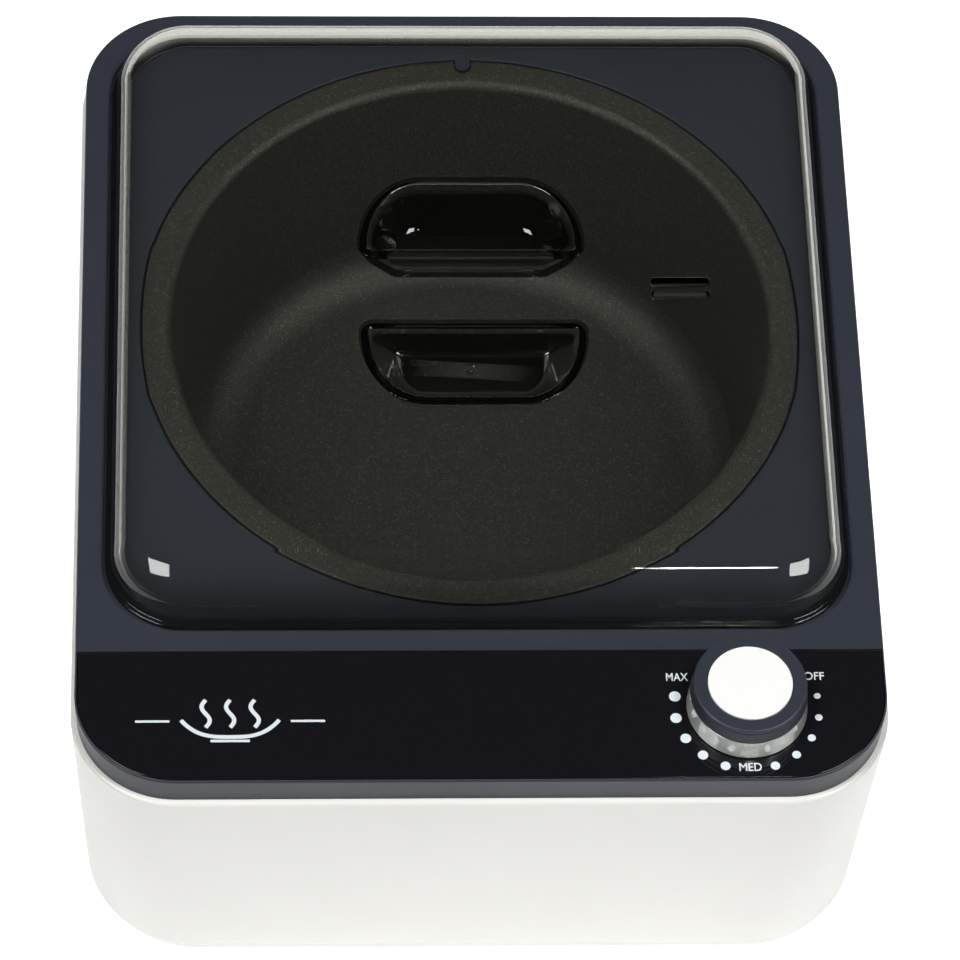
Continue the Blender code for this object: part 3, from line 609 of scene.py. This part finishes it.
def makeDeck():
    sizes = deckSizes
    bottom, floor = deckTop - sizes["band"], deckTop - sizes["recessDepth"]
    ledge = deckTop - sizes["seatDepth"]
    under = ledge - sizes["ledge"]
    edge = softened([(0, bottom, 0.3), (0, deckTop, sizes["edgeSoft"]), (8, deckTop, 0)], 8, closed=False)
    rings = [outerRing(sizes["skirt"], bottom), outerRing(0.4, bottom)]
    rings += [outerRing(inset, z) for inset, z in edge[1:-1]]
    soft = sizes["recessSoft"]
    bowed = softened([(8, deckTop, 0), (0, deckTop, soft), (0, floor, 0.35), (-6, floor, 0)], 8, closed=False)
    rings += [recessRing(out, z) for out, z in bowed[1:-1]]
    seat = sizes["seat"]
    step = softened([(seat + 4, floor, 0), (seat, floor, 0.35), (seat, ledge, 0)], 5, closed=False)
    rings += [seatRing(radius, z, flats=True) for radius, z in step[1:]]
    lip = [(110, ledge, 0), (sizes["opening"], ledge, 0.4), (sizes["opening"], under, 0.3), (110, under, 0)]
    lip = softened(lip, 4)
    rings += [seatRing(radius, z) for radius, z in lip if radius < 105]
    rings += [seatRing(sizes["ledgeRadius"], under), seatRing(sizes["ledgeRadius"], deckTop - 5.0)]
    rings += [outerRing(sizes["skirt"], deckTop - 5.0)]
    deck = stacked("deck_moulding", rings, tube=True)
    cut(deck, seatTab(seat, floor, under), "UNION")
    posts = [(sx * sizes["postX"], sy * sizes["postY"]) for sy in (-1, 1) for sx in (-1, 1)]
    for place in posts:
        cut(deck, turned("post", [(4.5, 8.3), (4.5, deckTop - 4)], place, 40, closed=False), "UNION")
        cut(deck, turned("pilot", [(1.9, 0), (1.9, 20.0)], place, 24, closed=False))
    pocket = slab("panel_pocket", lambda inset: panelRing(inset, 0.6, 0.0), deckTop - 2.3, deckTop + 4, 0.0)
    cut(deck, pocket)
    cut(deck, shaftHole())
    settle(deck, "base", finishes["navy_grey_plastic"], ["top_deck"])


# A hole through the deck and the panel for the thermostat's bushing.
def shaftHole():
    radius = deckSizes["shaftHole"]
    return turned("shaft_hole", [(radius, deckTop - 9), (radius, deckTop + 3)], knobAt[:2], 48, closed=False)


# A round-nosed tab that reaches into the pot's seat at the back and locates the pot.
def seatTab(seat, floor, under):
    reach, half = 4.6, 5.0
    nose = roundedRing(2.4, half, 2.39, (0, bathY + seat - reach + half), 14)
    return stacked("seat_tab", [atHeight(nose, z) for z in (under + 0.05, floor - 0.02)])


# The part of the deck's outline that lies in front of the panel line.
def panelRing(inset, rim, gap):
    line = panelHigh[1] + 0.3 - gap
    side, front, corner = (deckSizes[name] - rim - inset for name in ("halfX", "halfY", "corner"))
    ring = roundedRing(side, front, corner, arcSteps=40)
    kept = ring[ring[:, 1] < line]
    return np.concatenate([[(-side, line - inset)], kept, [(side, line - inset)]])


def makePanel():
    top = slab("gloss_panel", lambda inset: panelRing(inset, 0.9, 0.3), deckTop - 2.0, deckTop, 0.25)
    cut(top, shaftHole())
    settle(top, "base", finishes["gloss_black_panel"], ["control_panel"])


makeHousing()
makeDeck()
makePanel()
print("housing, deck and panel made")


# ---- lid

lidSizes = {
    "halfX": 114.8,
    "halfY": 115.05,
    "corner": 23.5,
    "lip": 1.6,
    "lipHeight": 1.7,
    "edge": 16.0,
    "wall": 3.0,
    "gripHalf": 33.6,
    "gripRound": 18.0,
    "gripSoft": 0.7,
    "gripDepth": 12.6,
    "rim": 0.25,
    "pip": (-0.8, 0.0),
    "vents": (57.1, 76.1),
    "ventPitch": 2.55,
    "ventHalf": 1.3,
    "ventFlare": 0.3,
}


def lidRing(out, z):
    sizes = lidSizes
    corner = max(sizes["corner"] - out, 7.0)
    return atHeight(roundedRing(sizes["halfX"] - out, sizes["halfY"] - out, corner, (0, bathY), 36, 4), z)


# The outer skin: the lip, the upright wall and a quarter-round edge up to the flat crown.
def lidSkin(inset, crown, foot):
    edge = lidSizes["edge"] - inset
    turn = np.radians(np.linspace(0, 90, 33))
    outs, heights = inset + edge - edge * np.cos(turn), crown - edge + edge * np.sin(turn)
    rings = [lidRing(out, z) for out, z in foot]
    return rings + [lidRing(out, z) for out, z in zip(outs, heights)]


# Each cup's straight and far sides, and how much painted shade darkens its walls and floor.
cupLooks = [
    (38.7, 64.9, {"scoop": 1.0, "upright": 0.2, "floor": 1.0}),
    (8.0, -18.7, {"scoop": 0.72, "upright": 1.0, "floor": 1.0}),
]


# One D outline of a cup: its ends and far side moved in by out, its straight side by near.
def cupRing(straight, far, out, near, small, z):
    lean = 1 if far > straight else -1
    half, large = lidSizes["gripHalf"] - out, lidSizes["gripRound"] - out
    return atHeight(gripRing(half, straight + lean * near, far - lean * out, small, large), z)


# Rings of a finger cup. Its far side and its ends follow one profile, its straight side another.
def cupRings(straight, far, scoop, upright, small):
    nears = np.interp(-scoop[:, 1], -upright[:, 1], upright[:, 0])
    return [cupRing(straight, far, out, near, small, z) for (out, z), near in zip(scoop, nears)]


# How dark each point is painted: the cups' inner walls and the cover's rounded border carry painted shade, darker
# than its flat middle, standing in for the dark that light takes on in the real lid's bent walls; the rims round
# the cups are made near-black. A cup's points are known again by one whole number made of their three coordinates
# in fiftieths of a millimetre.
def paintShadeOnCover(lid, cups, crown):
    def coded(table):
        return np.round(table * 50).astype(np.int64) @ np.array([1, 40000, 1600000000])

    points = np.empty(len(lid.data.vertices) * 3)
    lid.data.vertices.foreach_get("co", points)
    points = points.reshape(-1, 3) / mm
    known, levels = [], []
    for rings, straight, smoke in cups:
        ring = np.concatenate(rings)
        down = crown - ring[:, 2]
        upright = np.abs(ring[:, 1] - straight) < 2.6
        # painted shade on the cups' walls and floors, set per cup and per side
        wall = np.where(upright, smoke["upright"], smoke["scoop"])
        level = np.where(down > lidSizes["gripDepth"] - 0.3, smoke["floor"], wall)
        known.append(ring)
        levels.append(level * np.clip((down - 0.3) / 1.5, 0, 1))
    codes, first = np.unique(coded(np.concatenate(known)), return_index=True)
    levels = np.concatenate(levels)[first]
    places = coded(points)
    found = np.clip(np.searchsorted(codes, places), 0, len(codes) - 1)
    depth = crown - points[:, 2]
    borderFrom = 90
    border = (np.abs(points[:, 0]) > borderFrom) | (np.abs(points[:, 1] - bathY) > borderFrom)
    # painted shade on the rounded border, deeper the further below the crown
    edge = 0.8 * np.clip((depth - lidSizes["wall"] - 0.05) / lidSizes["edge"], 0, 1) ** 0.6
    smoke = np.where(codes[found] == places, levels[found], np.where(border, edge, 0.0))
    # the raised rims round the cups are made near-black
    smoke = np.where(depth < -0.1, 0.85, smoke)
    lid.data.attributes.new("smoke", "FLOAT", "POINT").data.foreach_set("value", smoke)


# The lip round the foot of the lid, up to the start of its upright wall.
def lidLip(foot):
    lip, top = lidSizes["lip"], foot + lidSizes["lipHeight"]
    corners = [(3, foot, 0), (-lip, foot, 0.3), (-lip, top, 0.5), (0, foot + 2.2, 0.4), (0, foot + 3.2, 0)]
    return softened(corners, 4, closed=False)[1:]


# The profiles of a cup: inside and outside, on its scooped sides and on its upright side.
def cupProfiles(crown, deep, under):
    soft = lidSizes["gripSoft"]
    start = [(-6, crown + 0.001, 0), (0, crown, soft)]
    back = [(0, crown - 1.4, 0)]
    bowed = [(0.4, crown - 2.6, 0), (2.4, crown - 7.0, 8.0), (10.4, under, 9.0), (16, under, 0)]
    corners = {
        "scoop": start + [(2.2, crown - 4.5, 7.0), (9.8, deep, 7.0), (14, deep, 0)],
        "upright": start + [(1.3, deep, 5.5), (6.4, deep, 0)],
        "scoopBack": back + bowed,
        "uprightBack": back + [(0.6, under, 3.0), (6.4, under, 0)],
    }
    return {name: softened(points, 10, closed=False) for name, points in corners.items()}


# Adds a cup's outside and its rim to the lid and cuts its inside. Gives the rings of the inside.
def addCup(lid, straight, far, crown, profiles):
    wall, top = lidSizes["wall"] - 0.2, crown + lidSizes["rim"]
    scoopBack, uprightBack = (profiles[name] - (wall, 0) for name in ("scoopBack", "uprightBack"))
    outside = cupRings(straight, far, scoopBack, uprightBack, 4.4)
    cut(lid, stacked("cup", outside), "UNION")
    rim = softened([(-3.0, crown - 1.0, 0), (-3.0, top, 0.2), (2, top, 0)], 4, closed=False)
    cut(lid, stacked("rim", [cupRing(straight, far, out, out, 4.6, z) for out, z in rim]), "UNION")
    scoop = profiles["scoop"][1:]
    mouth = np.concatenate([[(scoop[0][0], crown + 3.0)], scoop])
    inside = cupRings(straight, far, mouth, profiles["upright"][1:], 1.6)
    cut(lid, stacked("cup_hollow", inside))
    return inside[1:]


# The moulding pip in the middle, in a round groove.
def addPip(lid, deep):
    low, high = deep - 0.4, deep + 0.55
    pip = softened([(0.1, low, 0), (1.25, low, 0), (1.15, high, 0.45), (0.1, high, 0)], 6)
    low, high = deep - 0.35, deep + 0.5
    groove = softened([(1.7, high, 0), (1.7, low, 0.3), (2.35, low, 0.3), (2.35, high, 0)], 6)
    cut(lid, turned("pip_groove", groove, lidSizes["pip"], 40))
    cut(lid, turned("pip", pip, lidSizes["pip"], 40), "UNION")


def cutVents(lid, crown):
    low, high = lidSizes["vents"]
    flare = lidSizes["ventFlare"]
    profile = [(-flare, crown + 2.0), (-flare, crown), (0, crown - 1.2 * flare), (0, crown - 8)]
    for side in (-1, 1):
        middle = ((low + high) / 2, bathY + side * lidSizes["ventPitch"])
        rings = []
        for out, z in profile:
            half = lidSizes["ventHalf"] - out
            rings.append(atHeight(roundedRing((high - low) / 2 - out, half, half - 0.02, middle, 10), z))
        cut(lid, stacked("vent", rings))


def makeLid():
    foot, crown, wall = lidLow[2], lidHigh[2], lidSizes["wall"]
    deep = crown - lidSizes["gripDepth"]
    lid = stacked("smoked_lid", lidSkin(0.0, crown, lidLip(foot)))
    cut(lid, stacked("lid_hollow", lidSkin(wall, crown - wall, [(wall, foot - 4)])))
    profiles = cupProfiles(crown, deep, deep - wall)
    cups = []
    for straight, far, smoke in cupLooks:
        cups.append((addCup(lid, straight, far, crown, profiles), straight, smoke))
    addPip(lid, deep)
    cutVents(lid, crown)
    paintShadeOnCover(lid, cups, crown)
    settle(lid, "lid", finishes["smoked_clear"], ["lid"], sharp=40)


makeLid()
print("lid made")


# ---- pot and heating chamber

potSizes = {
    "inner": 96.3,
    "flange": 106.7,
    "floor": 19.0,
    "filletX": 75.0,
    "filletZ": 34.5,
    "sheet": 1.6,
    "lipSoft": 3.2,
    "notchReach": 5.1,
}


def makePot():
    sizes = potSizes
    top, floor, sheet = potHigh[2], sizes["floor"], sizes["sheet"]
    fillet = sizes["filletZ"] - floor
    foot = sizes["filletX"] + fillet
    inside = [(2.0, floor, 0), (foot - 0.6, floor, fillet), (sizes["inner"], top, sizes["lipSoft"])]
    flange = [(sizes["flange"], top, 0.6), (sizes["flange"], top - 2, 0.5)]
    flange += [(sizes["inner"] + 1.8, top - 2, 1.6)]
    outside = [(foot + sheet - 0.4, floor - sheet, fillet + 1.4), (2.0, floor - sheet, 0)]
    turn = recessOutline()
    rings = []
    for radius, z in softened(inside + flange + outside, 14, closed=False):
        outline = potOutline(turn, radius) if radius > 104.5 else ontoCircle(turn, (0, bathY), radius)
        rings.append(atHeight(outline, z))
    pot = stacked("wax_pot", rings)
    half = 6.0
    notch = roundedRing(2.9, half, 2.85, (0, bathY + sizes["flange"] - sizes["notchReach"] + half), 12)
    cut(pot, stacked("notch", [atHeight(notch, z) for z in (top - 6, top + 4)]))
    settle(pot, "pot", finishes["speckled_coating"], ["inner_pot"])


chamberSizes = {"rim": 99.2, "floor": 17.0, "sheet": 1.2, "foot": 93.2, "mouth": 99.5, "flange": 116.0}


# A bowl of even sheet: the inside profile, then the outside one a sheet's thickness away.
def makeChamber():
    sizes = chamberSizes
    rim, floor, sheet, flange = sizes["rim"], sizes["floor"], sizes["sheet"], sizes["flange"]
    profile = [(2.0, floor, 0), (sizes["foot"], floor, 17.0), (sizes["mouth"], rim, 1.2), (flange, rim, 0.3)]
    profile += [(flange, rim - sheet, 0.3), (sizes["mouth"] + sheet, rim - sheet, 2.2)]
    profile += [(sizes["foot"] + sheet, floor - sheet, 18.2), (2.0, floor - sheet, 0)]
    profile = softened(profile, 12, closed=False)
    chamber = turned("spun_chamber", profile, (0, bathY), 160, closed=False)
    settle(chamber, "base", finishes["spun_aluminium"], ["heating_chamber"])


makePot()
makeChamber()
print("pot and chamber made")


# ---- knob

knobSizes = {"disc": 13.04, "cap": 17.5, "flare": 18.1, "skirtTop": 17.8, "skirtFoot": 18.7}


# A part of the knob, turned about its axis from (radius, height above the deck, softness) corners.
def knobPart(name, corners, look, node, steps, closed=True):
    profile = softened([(out, deckTop + up, soft) for out, up, soft in corners], 6, closed=closed)
    piece = turned(name, profile, knobAt[:2], steps, closed=closed)
    settle(piece, "knob", finishes[look], [node])


# The cap is a ring with a deep skirt and an inner hub; the disc lies in its top, and the collar stands
# round the skirt's lower part.
def makeKnob():
    disc, ring, flare = knobSizes["disc"], knobSizes["cap"], knobSizes["flare"]
    top, foot = knobSizes["skirtTop"], knobSizes["skirtFoot"]
    cap = [(3.3, 3, 0.2), (6, 3, 0.3), (6, 10, 0.5), (13.6, 10, 0.5), (13.6, 1.5, 0.3)]
    cap += [(15.2, 1.5, 0.3), (15.2, 8, 0.2), (flare, 8, 0.45), (flare - 0.15, 9.2, 2.0)]
    cap += [(17.2, 12.0, 0.5), (16.9, 12.25, 0.15), (16.9, 12.5, 0.12)]
    cap += [(ring, 12.6, 0.3), (ring, 14.15, 1.0), (disc + 0.25, 14.2, 0.12)]
    cap += [(disc + 0.25, 13, 0.0), (2.0, 13, 0), (2.0, 11.2, 0), (3.3, 11.2, 0.2)]
    knobPart("knob_ring", cap, "navy_grey_plastic", "knob_cap", 192)
    face = [(1.0, 13.3, 0), (disc, 13.3, 0.1), (disc, 14.4, 0.35), (1.0, 14.4, 0)]
    knobPart("knob_face", face, "white_disc", "knob_disc", 160, closed=False)
    collar = [(15.5, 0.5, 0.2), (foot, 0.5, 0.4), (top, 7.7, 0.35), (15.5, 7.7, 0.2)]
    knobPart("knob_collar", collar, "polished_skirt", "knob_skirt", 192)


makeKnob()
print("knob made")


# ---- feet

footSizes = {"soft": 0.7, "dimple": 3.4, "dimpleDepth": 1.1}


# A rubber foot with a rounded lower edge, an upper edge that spreads a little, and the dimple of its screw.
def makeFoot(node):
    low, high = cornersOf(node)
    sizes = footSizes
    radius, bottom, top = (high[0] - low[0]) / 2, low[2], high[2]
    roof = bottom + sizes["dimpleDepth"]
    profile = [(0.2, roof, 0), (sizes["dimple"], roof, 0.3), (sizes["dimple"] + 0.3, bottom, 0.3)]
    profile += [(radius - 0.5, bottom, sizes["soft"]), (radius, top, 0.3), (0.2, top, 0)]
    profile = softened(profile, 6, closed=False)
    foot = turned(f"soft_{node}", profile, (low[:2] + high[:2]) / 2, 72, closed=False)
    settle(foot, "base", finishes["foot_rubber"], [node])


for end in ("front", "rear"):
    for side in ("left", "right"):
        makeFoot(f"foot_{end}_{side}")
print("feet made")


# ---- printing on the panel

inkSunk = 0.02
dialSizes = {
    "radius": 22.32,
    "first": 10.0,
    "pitch": 20.0,
    "smallest": 2.1,
    "largest": 3.6,
    "ink": 0.03,
    "letter": 2.85,
}


# Ten round dots in two arcs that grow from OFF round to MAX.
def makeDots():
    sizes = dialSizes
    right = [sizes["first"] - sizes["pitch"] * step for step in range(5)]
    left = [-110.0 - sizes["pitch"] * step for step in range(5)]
    dots = []
    for number, angle in enumerate(right + left):
        turn = math.radians(angle)
        at = knobAt[:2] + sizes["radius"] * np.array([math.cos(turn), math.sin(turn)])
        area = sizes["smallest"] ** 2 + (sizes["largest"] ** 2 - sizes["smallest"] ** 2) * number / 9
        radius = math.sqrt(area) / 2
        low, high = deckTop - inkSunk, deckTop + sizes["ink"]
        profile = [(0.2, low), (radius, low), (radius, high), (0.2, high)]
        dots.append(turned(f"dot_{number}", profile, at, 40, closed=False))
    settle(join(dots, "dial_dots"), "base", ink)


def makeWord(text, x, y, width):
    curve = bpy.data.curves.new(text, "FONT")
    curve.body = text
    curve.align_x = "CENTER"
    curve.align_y = "CENTER"
    curve.size = dialSizes["letter"] / 0.7 * mm
    curve.offset = 0.05 * mm
    curve.extrude = 0.5 * dialSizes["ink"] * mm
    curve.resolution_u = 4
    word = bpy.data.objects.new("word", curve)
    bpy.context.scene.collection.objects.link(word)
    bpy.context.view_layer.update()
    mesh = bpy.data.meshes.new_from_object(word.evaluated_get(bpy.context.evaluated_depsgraph_get()))
    bpy.data.objects.remove(word)
    points = np.array([vertex.co for vertex in mesh.vertices])
    low, high = points.min(0), points.max(0)
    centre = (low + high) / 2
    points -= (centre[0], centre[1], low[2])
    points[:, 0] *= width * mm / (high[0] - low[0])
    points[:, 1] *= dialSizes["letter"] * mm / (high[1] - low[1])
    points += np.array([x, y, deckTop]) * mm
    mesh.vertices.foreach_set("co", points.ravel())
    piece = bpy.data.objects.new(f"dial_{text.lower()}", mesh)
    bpy.context.scene.collection.objects.link(piece)
    faceOut(mesh, weld=1e-7)
    settle(piece, "base", ink)


# A ribbon of even width that follows a line, as a closed strip of ink.
def inkStrip(name, line, width):
    line = np.asarray(line, float)
    along = np.gradient(line, axis=0)
    along /= np.linalg.norm(along, axis=1, keepdims=True)
    side = np.column_stack([-along[:, 1], along[:, 0]]) * width / 2
    left, right = line + side, line - side
    low, high = deckTop - inkSunk, deckTop + dialSizes["ink"]
    edges = ((left, low), (right, low), (right, high), (left, high))
    return stacked(name, np.stack([atHeight(edge, z) for edge, z in edges], axis=1))


heatSign = {"x": -77.3, "y": -126.2, "width": 30.0, "dish": 6.0, "waves": 3, "wavePitch": 7.5, "line": 1.3}


# A generic sign for warming: three rising waves over a shallow dish, with a rule on either side.
def makeHeatSign():
    sign = heatSign
    half = sign["width"] / 2
    u = np.linspace(-1, 1, 60)
    dish = np.column_stack([sign["x"] + half * u, sign["y"] - 6.6 + sign["dish"] * np.abs(u) ** 3.2])
    strips = [inkStrip("dish", dish, sign["line"])]
    strips.append(inkStrip("stand", [(sign["x"] + reach, sign["y"] - 8.0) for reach in (-6, 0, 6)], 0.9))
    rise = np.linspace(0, 1, 50)
    for number in range(sign["waves"]):
        x = sign["x"] + (number - (sign["waves"] - 1) / 2) * sign["wavePitch"]
        wave = np.column_stack([x + 1.25 * np.sin(rise * math.tau), sign["y"] - 3.2 + 9.8 * rise])
        strips.append(inkStrip(f"wave_{number}", wave, sign["line"]))
    for side in (-1, 1):
        rule = [(sign["x"] + side * reach, sign["y"] - 1.0) for reach in (18.5, 24.0, 29.0)]
        strips.append(inkStrip(f"rule_{side}", rule, 0.8))
    settle(join(strips, "heat_sign"), "base", ink)


makeDots()
makeWord("MAX", knobAt[0] - 21.0, knobAt[1] + 10.9, 6.8)
makeWord("MED", knobAt[0], knobAt[1] - 21.4, 6.9)
makeWord("OFF", knobAt[0] + 21.4, knobAt[1] + 11.1, 6.2)
makeHeatSign()
print("printing made")


# ---- every CAD node still showing gets its finish

for entry in frame["record"]["subparts"]:
    node = frame["nodes"][entry["node"]]
    if not node.hide_render:
        node.data.materials.clear()
        node.data.materials.append(finishes[entry["material_slot"]])


# ---- floor, light and camera

floorSize = 1.7  # metres


def makeStage():
    finish = Finish("pale_floor", (0.93, 0.93, 0.93), 0.9)
    finish.set("Emission Color", (1.0, 1.0, 1.0, 1.0))
    finish.set("Emission Strength", 0.58)
    half = floorSize / mm / 2
    floor = stacked("floor", [atHeight(roundedRing(half, half, half * 0.3), z) for z in (-5.0, -0.01)])
    floor.data.materials.append(finish.material)


def addLamp(name, bearing, elevation, away, size, power, roll=0.0, role="both"):
    turn, rise = math.radians(bearing), math.radians(elevation)
    direction = Vector((math.sin(turn) * math.cos(rise), math.cos(turn) * math.cos(rise), math.sin(rise)))
    light = bpy.data.lights.new(name, "AREA")
    light.shape = "RECTANGLE"
    light.size, light.size_y = size
    light.energy = power
    lamp = bpy.data.objects.new(name, light)
    lamp.visible_glossy = role != "light"
    lamp.visible_diffuse = role != "reflection"
    lamp.visible_transmission = role == "both"
    lamp.location = Vector((0, 0, 0.1)) + direction * away
    aim = direction.to_track_quat("Z", "Y").to_matrix().to_4x4()
    lamp.matrix_world = Matrix.Translation(lamp.location) @ aim @ Matrix.Rotation(math.radians(roll), 4, "Z")
    bpy.context.scene.collection.objects.link(lamp)


# The room: a bright wall behind, up to a way above the horizon, and dark elsewhere.
def makeWorld():
    look = {"bright": (0.98, 0.96, 0.90), "dark": 0.035, "wallTop": 0.62, "soft": 0.10}
    world = bpy.data.worlds.new("studio")
    bpy.context.scene.world = world
    world.use_nodes = True
    room = Graph(world.node_tree)
    background = world.node_tree.nodes["Background"]
    where = room.node("TexCoord", output="Generated")
    toBack = room.range(room.node("SeparateXYZ", {}, {0: where}, output="Y"), 0.0, 1.0, 0.72, 0.92)
    height = room.node("SeparateXYZ", {}, {0: where}, output="Z")
    low = room.range(height, 1.0, 0.0, look["wallTop"] - look["soft"], look["wallTop"] + look["soft"])
    dark = (look["dark"],) * 3
    seen = room.node("LightPath", output="Is Camera Ray")
    lit = room.blended(toBack * low, dark, look["bright"])
    room.feed(background.inputs["Color"], room.blended(seen, lit, (1.0, 1.0, 1.0)))


cameraView = {
    "position": (-71.87, -953.92, 1478.11),
    "yaw": 4.578,
    "pitch": 56.163,
    "roll": 3.695,
    "lens": 195.99,
}


def makeCamera():
    view = cameraView
    yaw, pitch, roll = (math.radians(view[name]) for name in ("yaw", "pitch", "roll"))
    ahead = Vector((math.sin(yaw) * math.cos(pitch), math.cos(yaw) * math.cos(pitch), -math.sin(pitch)))
    level = Vector((math.cos(yaw), -math.sin(yaw), 0))
    upright = level.cross(ahead)
    right = level * math.cos(roll) + upright * math.sin(roll)
    up = upright * math.cos(roll) - level * math.sin(roll)
    data = bpy.data.cameras.new("camera")
    data.lens = view["lens"]
    data.sensor_width = 36.0
    data.clip_end = 20.0
    camera = bpy.data.objects.new("camera", data)
    turn = Matrix((right, up, -ahead)).transposed().to_4x4()
    camera.matrix_world = Matrix.Translation(Vector(view["position"]) * mm) @ turn
    bpy.context.scene.collection.objects.link(camera)
    bpy.context.scene.camera = camera


makeStage()
makeWorld()
makeCamera()
addLamp("left_softbox", -119.5, 51.8, 1.59, (0.7, 0.7), 22, roll=45, role="reflection")
addLamp("right_softbox", 119.4, 47.6, 1.60, (0.7, 0.7), 22, roll=45, role="reflection")
addLamp("left_key", -130, 66, 1.5, (0.34, 0.34), 12.5, role="light")
addLamp("right_key", 130, 66, 1.5, (0.34, 0.34), 12.5, role="light")
addLamp("top_spot", 156.5, 69.6, 1.55, (0.11, 0.07), 1.6, role="reflection")
addLamp("front_fill", 180, 22, 2.0, (1.6, 0.9), 3, role="light")
bpy.context.scene.view_settings.view_transform = "Standard"
print("stage, lights and camera made")
